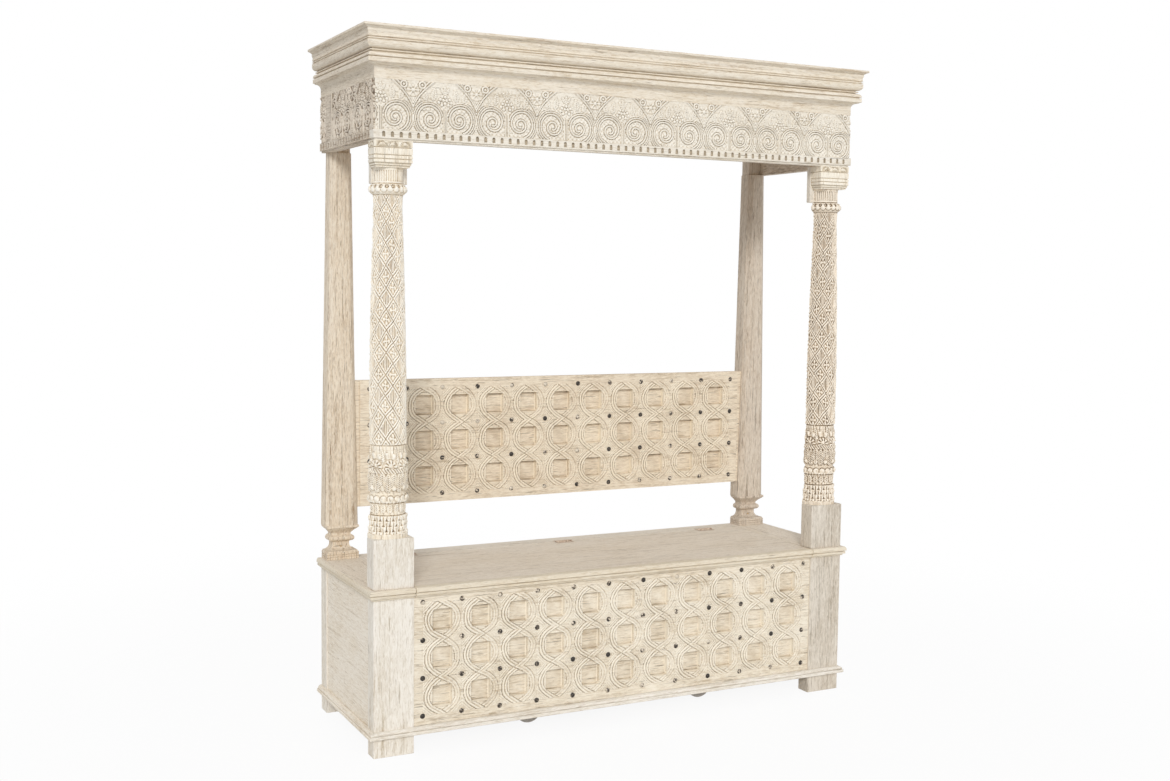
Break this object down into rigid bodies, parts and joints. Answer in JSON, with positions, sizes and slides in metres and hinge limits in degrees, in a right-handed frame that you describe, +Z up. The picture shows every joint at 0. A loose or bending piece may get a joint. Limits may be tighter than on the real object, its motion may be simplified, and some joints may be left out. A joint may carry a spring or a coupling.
{
  "type": "canopied storage bench",
  "caption": "Long wooden storage bench with a hinged seat lid, carved front and back panels, half-round carved columns and a moulded canopy.",
  "frame": {"origin": "on the floor, in the middle of the outer box, which the cornice sets at the front and sides and the flat back at the rear", "axes": "+X along the bench, to the right as seen from the front, +Y from the front to the flat back, +Z up"},
  "size_m": [1.682, 0.546, 2.027],
  "materials": {
    "cream_limed_mango": "limed, matt",
    "tan_limed_mango": "thinly limed, matt",
    "grey_limed_mango": "limed, waxed",
    "raw_mango": "sawn, unfinished",
    "dark_iron": "forged, waxed",
    "lime_washed_iron": "forged, limed over with the wood"
  },
  "bodies": {
    "bench": {"corner_post_front_left": "cream_limed_mango", "corner_post_front_right": "cream_limed_mango", "corner_post_rear_left": "cream_limed_mango", "corner_post_rear_right": "cream_limed_mango", "side_panel_left": "cream_limed_mango", "side_panel_right": "cream_limed_mango", "front_panel": "cream_limed_mango", "front_panel_studs": "dark_iron", "chest_back": "raw_mango", "bottom_boards": "raw_mango", "floor_bearer_left": "raw_mango", "floor_bearer_right": "raw_mango", "base_moulding_front": "cream_limed_mango", "base_moulding_left": "cream_limed_mango", "base_moulding_right": "cream_limed_mango", "lid_bearer_left": "raw_mango", "lid_bearer_right": "raw_mango", "lid_bearer_rear": "raw_mango", "seat_end_left": "cream_limed_mango", "seat_end_right": "cream_limed_mango", "seat_rear_rail": "grey_limed_mango", "hinge_rail_leaves": "lime_washed_iron", "hinge_pins": "lime_washed_iron", "hinge_rail_screws": "lime_washed_iron", "pedestal_block_left": "cream_limed_mango", "pedestal_block_right": "cream_limed_mango", "column_front_left": "cream_limed_mango", "column_front_right": "cream_limed_mango", "capital_left": "cream_limed_mango", "capital_right": "cream_limed_mango", "capital_backing_left": "cream_limed_mango", "capital_backing_right": "cream_limed_mango", "column_rear_left": "tan_limed_mango", "column_rear_right": "tan_limed_mango", "back_panel": "cream_limed_mango", "back_panel_studs": "dark_iron", "back_panel_dowels": "raw_mango", "frieze_front": "cream_limed_mango", "frieze_left": "cream_limed_mango", "frieze_right": "cream_limed_mango", "canopy_back_board": "raw_mango", "canopy_corner_block_left": "raw_mango", "canopy_corner_block_right": "raw_mango", "cornice_front": "tan_limed_mango", "cornice_left": "tan_limed_mango", "cornice_right": "tan_limed_mango", "roof_boards": "raw_mango", "roof_cleats": "raw_mango", "pegs_front": "raw_mango", "pegs_rear": "raw_mango"},
    "lid": {"lid_panel": "grey_limed_mango", "lid_nosing": "cream_limed_mango", "lid_battens": "raw_mango", "hinge_lid_leaves": "lime_washed_iron", "hinge_lid_screws": "lime_washed_iron"}
  },
  "joints": [
    {"name": "lid_hinge", "type": "hinge", "parent": "bench", "child": "lid", "pos_m": [0, 0.203, 0.48], "axis": [-1, 0, 0], "range_deg": [0, 92]}
  ]
}
